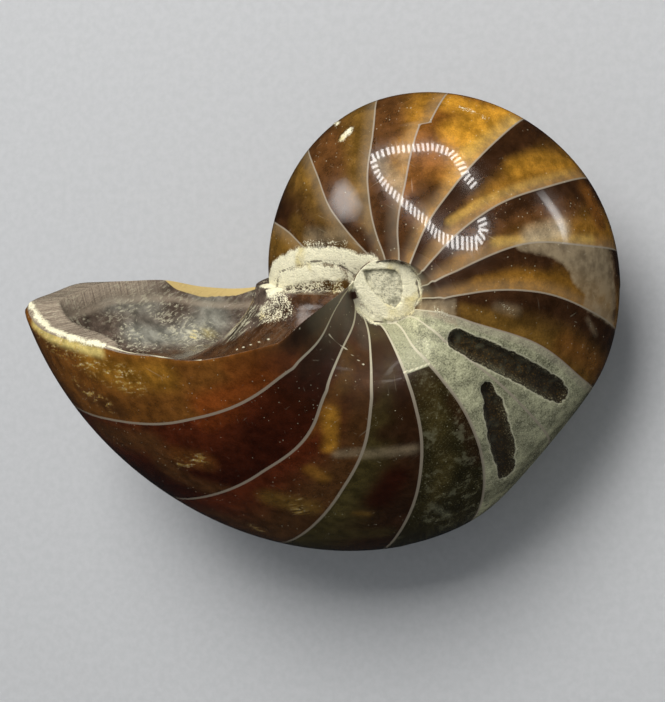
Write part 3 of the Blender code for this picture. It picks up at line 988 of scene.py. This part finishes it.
class Stone(Nodes):
    """A stone material while it is painted: its grain, its scratches and its colour so far."""

    def __init__(self, name, colours, groups):
        self.material, tree, self.shader = new_material(name)
        super().__init__(tree)
        self.colours, self.groups, self.colour = colours, groups, None
        place = self.node("TexCoord").outputs["Object"]
        grain = self.use(groups["mineral"], Place=place)
        self.clouds, self.mottles = grain["Clouds"], grain["Mottles"]
        self.grains, self.flecks = grain["Grains"], grain["Flecks"]
        self.marks = self.use(groups["scratch"], Place=place)

    def blend(self, share, base, over, mode="MIX"):
        """Colour base with colour over laid on it by share. Both may be given by name."""
        base, over = ((*getattr(self.colours, part), 1.0) if isinstance(part, str) else part
                      for part in (base, over))
        inputs = {0: share, 6: base, 7: over}
        return self.node("Mix", inputs, data_type="RGBA", blend_type=mode).outputs[2]

    def lay(self, share, over):
        self.colour = self.blend(share, self.colour, over)

    def shaded(self, base, *shades):
        """Colour base, darker or brighter by the product of the shades."""
        return self.blend(1.0, base, self.grey(self.times(*shades)), "MULTIPLY")

    def silted(self, base):
        """Colour base with the darker and paler grains of sediment."""
        dark = self.times(self.fade(self.grains, 0.50, 0.36),
                          self.fade(self.mottles, 0.58, 0.44, 0.2, 0.65))
        pale = self.fade(self.grains, 0.56, 0.70, 0.0, 0.5)
        return self.blend(pale, self.blend(dark, base, "dark_silt"), "cream")

    def lay_veins_and_rim_highlight(self):
        # Pale veins, and a pale line along the mouth's rim that is partly its worn edge and partly a
        # painted highlight
        self.lay(self.fade("vein", -0.18, -0.08, 0.0, 0.7), "cream")

    def lay_chip(self):
        """Lays the fresh break of the mouth's far edge, and returns where it is."""
        chip = self.fade("chip", -0.04, 0.04)
        self.lay(chip, "tan")
        return chip

    def lay_chalk(self):
        """Lays the chalky crust and dust with yellow stains, and returns where they are."""
        chalk = self.blend(self.fade(self.clouds, 0.56, 0.70, 0.0, 0.8), "cream", "yellow")
        chalk = self.blend(self.fade(self.mottles, 0.48, 0.62, 0.0, 0.2), chalk, "silt")
        chalk = self.shaded(chalk, self.fade(self.grains, 0.3, 0.6, 0.85, 1.1),
                            self.fade(self.mottles, 0.3, 0.6, 0.9, 1.1))
        cover = self.use(self.groups["chalk"], Cream=self.mask("cream"), Dust=self.mask("dust"),
                         Grains=self.grains, Mottles=self.mottles)["Cover"]
        self.lay(cover, chalk)
        return cover

    def finish(self, rough, relief, coat, coat_roughness):
        """Joins the colour, roughness, relief and coat to the shader and returns the material."""
        height, strength, distance = relief
        bump = self.node("Bump", {"Height": height, "Strength": strength, "Distance": distance})
        sockets = {"Base Color": self.colour, "Roughness": rough, "Normal": bump.outputs[0],
                   "Coat Weight": coat}
        for name, value in sockets.items():
            self.tree.links.new(value, self.shader.inputs[name])
        self.shader.inputs["Coat Roughness"].default_value = coat_roughness
        return self.material


def paint_chambers(stone, number):
    """Stained calcite and sediment of the chambers. Returns where sediment and pale stone are."""
    times, plus, fade, mottles = stone.times, stone.plus, stone.fade, stone.mottles
    odd = stone.maths("FLOORED_MODULO", number, 2.0)
    stained = stone.blend(odd, stone.tint("paint_even"), stone.tint("paint_odd"))
    stone.colour = stone.shaded(stained, fade(stone.clouds, 0.3, 0.7, 0.78, 1.25),
                                fade(mottles, 0.25, 0.75, 0.62, 1.4),
                                fade(stone.grains, 0.3, 0.7, 0.82, 1.18))
    filled = times(stone.maths("GREATER_THAN", number, SILT_CHAMBERS[0] - 0.5),
                   stone.maths("LESS_THAN", number, SILT_CHAMBERS[1] + 0.5))
    # Darker towards the navels, except in the silted chambers
    stone.lay(times(fade("across", 0.5, 0.76, 0.0, 0.55), stone.minus(1.0, filled)), "umber")
    for name in ("veil", "glass"):
        field = plus(stone.mask(name), times(mottles, 0.9))
        stone.lay(times(fade(field, 0.20, 0.85), fade(mottles, 0.35, 0.65, 0.4, 0.8)), "clear")
    pale = fade("pale", -0.05, 0.05)
    silt = stone.most(filled, pale)
    stone.lay(silt, stone.silted(stone.blend(pale, stone.colour, "silt")))
    spots = plus(fade(stone.grains, 0.56, 0.68, 0.0, 0.25), fade(mottles, 0.54, 0.66, 0.0, 0.25))
    stone.lay(times(stone.maths("COMPARE", number, GREEN_CHAMBER, 0.1), spots), "silt")
    return silt, pale


def paint_walls(stone, chamber, number, wall_width):
    """Lines of the chamber walls, a glow behind the old ones and the sediment's pale margin."""
    times, fade, reach = stone.times, stone.fade, stone.mask("wall_reach")
    within = stone.maths("FRACT", chamber)
    step = stone.maths("ABSOLUTE", stone.minus(chamber, stone.maths("ROUND", chamber)))
    thick = times(fade(chamber, 4.4, 7.6, 1.0, 0.55), fade("across", 0.66, 0.86, 1.0, 0.6))
    away = stone.maths("DIVIDE", times(step, reach), thick)
    line = times(fade(away, 0.62 * wall_width, 0.38 * wall_width),
                 stone.maths("GREATER_THAN", chamber, 0.5),
                 stone.maths("LESS_THAN", chamber, len(WALLS) + 0.5))
    glow = times(fade(times(within, reach), GLOW_WIDTH, 0.0), fade(chamber, 7.9, 8.1, 0.0, 0.22))
    margin = times(fade(times(stone.minus(1.0, within), reach), MARGIN_WIDTH, MARGIN_WIDTH / 2),
                   stone.maths("COMPARE", number, SILT_CHAMBERS[1], 0.1))
    stone.lay(stone.most(glow, times(margin, 0.4)), "wall")
    bright = stone.blend(fade("across", 0.6, 0.85, 0.0, 0.6), "wall", "cream")
    stone.lay(times(line, 0.8), bright)


def paint_crystals(stone):
    """Silky crystal faces, bright flecks and fine scratches."""
    times, fade, marks = stone.times, stone.fade, stone.marks
    crystals = times(marks["Fibres"], fade(stone.mottles, 0.38, 0.54),
                     fade("cleavage", -0.8, 1.2, 0.0, 0.9))
    stone.lay(crystals, stone.blend(fade(stone.grains, 0.50, 0.66), "honey", "cream"))
    stone.lay(stone.most(times(stone.flecks, 0.32), times(marks["Scratches"], 0.12)), "cream")


def paint_hollows(stone, ragged):
    """Rough dark walls of the dissolved hollows. Returns where they are."""
    times, fade, grains = stone.times, stone.fade, stone.grains
    depth = stone.plus(stone.mask("hollow"), ragged)
    hollow = fade(depth, -0.06, 0.02)
    rim = stone.minus(fade(depth, -0.22, -0.08), hollow)
    stone.lay(times(rim, 0.35), "cream")
    cavity = stone.blend(fade(stone.mottles, 0.50, 0.68), "cavity", "dark_silt")
    cavity = stone.blend(fade(grains, 0.54, 0.64, 0.0, 0.8), cavity, "bronze")
    crumbs = times(fade(grains, 0.56, 0.66), fade(depth, 0.5, 0.05))
    stone.lay(hollow, stone.blend(crumbs, cavity, "silt"))
    return hollow


def flank_material(colours, groups, wall_width):
    """The polished outside: chambers, walls, sediment, hollows, crusts and the navels."""
    stone = Stone("polished_flank", colours, groups)
    times, most, plus, fade, mottles = stone.times, stone.most, stone.plus, stone.fade, stone.mottles
    chamber = stone.mask("chamber")
    number = stone.maths("FLOOR", chamber)
    silt, pale = paint_chambers(stone, number)
    paint_walls(stone, chamber, number, wall_width)
    stone.lay_veins_and_rim_highlight()
    paint_crystals(stone)
    ragged = times(stone.minus(mottles, 0.5), 0.6)
    hollow = paint_hollows(stone, ragged)
    chalk = stone.lay_chalk()
    stone.lay(fade(plus(stone.mask("crack"), ragged), -0.13, -0.03, 0.0, 0.8), "umber")
    chip = stone.lay_chip()
    fill = fade(plus(stone.mask("fill"), ragged), -0.04, 0.08)
    core = stone.blend(fade(mottles, 0.42, 0.62, 0.1, 0.75), stone.silted("cream"), "dark_silt")
    stone.lay(fill, core)
    dull = most(chalk, chip, hollow, fill)
    rough = most(times(dull, 0.5), times(silt, 0.25), times(hollow, 0.95),
                 fade(mottles, 0.3, 0.7, 0.16, 0.24), fade("across", 0.56, 0.70, 0.0, 0.45))
    height = times(stone.grains, plus(dull, times(silt, 0.08)))
    matt = most(dull, times(pale, 0.9), times(silt, 0.6), fade("across", 0.56, 0.70, 0.0, 0.85))
    coat = stone.minus(1.0, matt)
    return stone.finish(rough, (height, *FLANK_BUMP), coat, FLANK_COAT_ROUGHNESS)


def mouth_material(colours, groups):
    """The mouth: ridged brim, scratched bowl, polished shoulder, chipped far edge, dusty saddle."""
    stone = Stone("worn_mouth", colours, groups)
    times, most, fade, mottles = stone.times, stone.most, stone.fade, stone.mottles
    grains, marks = stone.grains, stone.marks
    stone.colour = stone.shaded(stone.tint("paint_even"), fade(mottles, 0.25, 0.75, 0.5, 1.5))
    place = stone.node("CombineXYZ", {0: times(stone.mask("across"), RIDGES_ACROSS),
                                      1: times(stone.mask("inward"), RIDGES_INWARD)}).outputs[0]
    ridges = times(fade(stone.speckle(place, 1.0, 5.0, 0.7), 0.25, 0.75),
                   fade(grains, 0.3, 0.6, 0.55, 1.2))
    rim = times(stone.mask("brim"), fade("bowl", 0.030, 0.012))
    stone.lay(times(rim, 0.9), stone.blend(ridges, "taupe", "brim"))
    inner = times(fade("bowl", 0.01, 0.03), fade("bowl", 0.05, 0.03))
    stone.lay(times(inner, 0.5), "brim")
    lit = times(marks["Streaks"], fade(stone.clouds, 0.40, 0.60))
    worn = most(times(marks["Scratches"], 0.8), stone.flecks, times(lit, 0.62))
    stone.lay(times(worn, fade("bowl", 0.0, 0.08, 0.35, 0.8)), "cream")
    ragged = times(stone.minus(mottles, 0.5), 1.2)
    shoulder = fade(stone.plus(stone.mask("shoulder"), ragged), -0.2, 0.5)
    polished = stone.blend(fade(mottles, 0.35, 0.65), "umber", "brown")
    stone.lay(times(shoulder, 0.92), polished)
    stone.lay_veins_and_rim_highlight()
    chip = stone.lay_chip()
    dull = most(stone.lay_chalk(), chip)
    rough = most(times(dull, 0.5), fade(mottles, 0.3, 0.7, 0.16, 0.30))
    height = stone.plus(times(grains, 0.4), times(marks["Streaks"], 0.4))
    coat = times(stone.minus(1.0, dull), fade(shoulder, 0.0, 1.0, 0.4, 0.9))
    return stone.finish(rough, (height, *MOUTH_BUMP), coat, MOUTH_COAT_ROUGHNESS)


def build_mesh(name, points, faces, kinds, masks):
    mesh = bpy.data.meshes.new(name)
    mesh.vertices.add(len(points))
    mesh.vertices.foreach_set("co", points.ravel())
    corners = np.concatenate([part.ravel() for part in faces])
    sizes = np.concatenate([np.full(len(part), part.shape[1]) for part in faces])
    starts = np.concatenate([[0], np.cumsum(sizes)[:-1]])
    mesh.loops.add(len(corners))
    mesh.loops.foreach_set("vertex_index", corners)
    mesh.polygons.add(len(sizes))
    mesh.polygons.foreach_set("loop_start", starts)
    mesh.polygons.foreach_set("material_index", kinds)
    for label, values in masks.items():
        kind = "FLOAT_VECTOR" if values.ndim == 2 else "FLOAT"
        layer = mesh.attributes.new(label, kind, "POINT")
        field = "vector" if values.ndim == 2 else "value"
        layer.data.foreach_set(field, values.astype(np.float32).ravel())
    mesh.update(calc_edges=True)
    mesh.validate()
    mesh.shade_smooth()
    return mesh


class NAUTILUS_OT_add_shell(bpy.types.Operator):
    """Add the fossil shell with its polished stone"""

    bl_idname = "nautilus.add_shell"
    bl_label = "Fossil Shell"
    bl_options = {"REGISTER", "UNDO"}

    def execute(self, context):
        sizes, colours = context.scene.shell_sizes, context.scene.stone_colours
        points, faces, kinds, masks = make_shell(sizes, colours)
        mesh = build_mesh("shell", points, faces, kinds, masks)
        groups = {"mineral": mineral_group(), "scratch": scratch_group(), "chalk": chalk_group()}
        mesh.materials.append(flank_material(colours, groups, sizes.wall_width))
        mesh.materials.append(mouth_material(colours, groups))
        shell = bpy.data.objects.new("fossil_shell", mesh)
        context.scene.collection.objects.link(shell)
        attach(shell, BODY)
        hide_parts(NODE)
        return {"FINISHED"}


def add_lamp(name, place, target, size, power):
    """A soft area lamp at place that shines at target."""
    light = bpy.data.lights.new(name, "AREA")
    light.size = size
    light.energy = power
    lamp = bpy.data.objects.new(name, light)
    lamp.location = place
    lamp.rotation_mode = "QUATERNION"
    lamp.rotation_quaternion = (Vector(place) - Vector(target)).to_track_quat("Z", "Y")
    lamp.visible_camera = False
    bpy.context.scene.collection.objects.link(lamp)
    return lamp


def mirrored(sight, to_table, pixel, distance):
    """World point that the skin mirrors into the camera at a pixel, and where it does."""
    index = sight.index(pixel)
    place, normal = Vector(sight.points[index]), Vector(sight.normals[index])
    seen = (camera_place() - place).normalized()
    bounce = 2 * normal.dot(seen) * normal - seen
    return to_table @ (place + bounce * distance), to_table @ place


def add_strip_lamp(corners, spots):
    """A bent strip of small glowing bars, which only shows where the polish mirrors it."""
    corners = np.array(corners)
    steps = np.linalg.norm(np.diff(LAMP_CORNERS, axis=0), axis=1)
    lengths = np.concatenate([[0], np.cumsum(steps)])
    target = Vector(np.mean(spots, 0))
    points, faces = [], []
    for at in np.arange(0, lengths[-1] - LAMP_PITCH, LAMP_PITCH):
        here, ahead = (np.array([np.interp(place, lengths, corners[:, axis])
                                 for axis in range(3)]) for place in (at, at + LAMP_PITCH / 2))
        here, ahead = Vector(here), Vector(ahead)
        over = (ahead - here).cross(target - here).normalized() * LAMP_WIDTH / 2
        faces.append(tuple(range(len(points), len(points) + 4)))
        points += [here - over, ahead - over, ahead + over, here + over]
    add_glow("strip_lamp", points, faces, LAMP_GLOW, [1.0] * len(points))


def add_glow(name, points, faces, glow, shares):
    """A glowing stage mesh that only shows where the polish mirrors it."""
    mesh = bpy.data.meshes.new(name)
    mesh.from_pydata(points, [], faces)
    mesh.attributes.new("share", "FLOAT", "POINT").data.foreach_set("value", shares)
    material, tree, shader = new_material(name + "_glow")
    shader.inputs["Emission Color"].default_value = LAMP_COLOUR
    strength = Nodes(tree).fade("share", 0.0, 0.7, 0.0, glow)
    tree.links.new(strength, shader.inputs["Emission Strength"])
    mesh.materials.append(material)
    lamp = bpy.data.objects.new(name, mesh)
    bpy.context.scene.collection.objects.link(lamp)
    for sense in ("camera", "diffuse", "shadow", "transmission", "volume_scatter"):
        setattr(lamp, "visible_" + sense, False)


class NAUTILUS_OT_add_studio(bpy.types.Operator):
    """Add the floor, the lamps and the camera"""

    bl_idname = "nautilus.add_studio"
    bl_label = "Studio"
    bl_options = {"REGISTER", "UNDO"}

    def execute(self, context):
        scene = context.scene
        skin = Skin(scene.shell_sizes)
        sight, to_table = Sight(skin), table_move(skin.grid)
        self.add_floor(scene)
        self.add_camera(scene, to_table)
        self.add_lamps(sight, to_table)
        world = bpy.data.worlds.new("soft_room")
        world.use_nodes = True
        sky = world.node_tree.nodes["Background"]
        sky.inputs["Color"].default_value = SKY_COLOUR
        nodes = Nodes(world.node_tree)
        mirrored_ray = nodes.node("LightPath").outputs["Is Glossy Ray"]
        strength = nodes.fade(mirrored_ray, 0.0, 1.0, WORLD_LIGHT, WORLD_SHEEN)
        world.node_tree.links.new(strength, sky.inputs["Strength"])
        scene.world = world
        scene.view_settings.view_transform = "Standard"
        return {"FINISHED"}

    def add_floor(self, scene):
        mesh = bpy.data.meshes.new("floor")
        sides = (-FLOOR_REACH, FLOOR_REACH)
        corners = [(x, y, 0) for x in sides for y in sides]
        mesh.from_pydata(corners, [], [(0, 2, 3, 1)])
        material, tree, shader = new_material("pale_floor")
        nodes = Nodes(tree)
        place = nodes.node("TexCoord").outputs["Object"]
        shade = nodes.fade(nodes.speckle(place, FLOOR_GRAIN), 0.3, 0.7, *FLOOR_SHADES)
        tree.links.new(nodes.grey(shade), shader.inputs["Base Color"])
        shader.inputs["Roughness"].default_value = 0.9
        mesh.materials.append(material)
        floor = bpy.data.objects.new("floor", mesh)
        scene.collection.objects.link(floor)
        floor.visible_glossy = False

    def add_camera(self, scene, to_table):
        data = bpy.data.cameras.new("camera")
        data.sensor_width = SENSOR
        data.lens = SENSOR * VIEW_FOCUS_PIXELS / max(IMAGE_SIZE)
        data.clip_start = 0.01
        camera = bpy.data.objects.new("camera", data)
        turn = Matrix(camera_axes()).transposed()
        camera.matrix_world = to_table @ Matrix.Translation(camera_place()) @ turn.to_4x4()
        scene.collection.objects.link(camera)
        scene.camera = camera

    def add_lamps(self, sight, to_table):
        right, up, back = (to_table.to_3x3() @ axis for axis in view_axes())
        middle = Vector(KEY_AIM)
        key = middle + back * KEY_BACK + up * KEY_UP - right * KEY_LEFT
        add_lamp("key", key, middle, KEY_SIZE, KEY_POWER).visible_glossy = False
        corners = [mirrored(sight, to_table, pixel, LAMP_DISTANCE) for pixel in LAMP_CORNERS]
        add_strip_lamp([place for place, _ in corners], [spot for _, spot in corners])
        for number, (outline, glow) in enumerate(PANES):
            pane = [mirrored(sight, to_table, pixel, PANE_DISTANCE)[0] for pixel in outline]
            count = len(pane)
            faces = [(corner, (corner + 1) % count, count) for corner in range(count)]
            pane.append(sum(pane, Vector()) / count)
            add_glow("window_%d" % number, pane, faces, glow, [PANE_EDGE] * count + [1.0])


class NAUTILUS_PT_pieces(bpy.types.Panel):
    """Pieces of the fossil nautilus"""

    bl_idname = "NAUTILUS_PT_pieces"
    bl_label = "Fossil Nautilus"
    bl_space_type = "VIEW_3D"
    bl_region_type = "UI"
    bl_category = "Nautilus"

    def draw(self, context):
        layout = self.layout
        for operator in OPERATORS:
            layout.operator(operator.bl_idname)
        for group in (context.scene.shell_sizes, context.scene.stone_colours):
            for name in group.__annotations__:
                layout.prop(group, name)


OPERATORS = (NAUTILUS_OT_add_shell, NAUTILUS_OT_add_studio)
CLASSES = (ShellSizes, StoneColours, *OPERATORS, NAUTILUS_PT_pieces)


def register():
    for item in CLASSES:
        bpy.utils.register_class(item)
    bpy.types.Scene.shell_sizes = PointerProperty(type=ShellSizes)
    bpy.types.Scene.stone_colours = PointerProperty(type=StoneColours)


def unregister():
    del bpy.types.Scene.stone_colours
    del bpy.types.Scene.shell_sizes
    for item in reversed(CLASSES):
        bpy.utils.unregister_class(item)


def main():
    register()
    bpy.ops.nautilus.add_shell()
    bpy.ops.nautilus.add_studio()


if __name__ == "__main__":
    main()
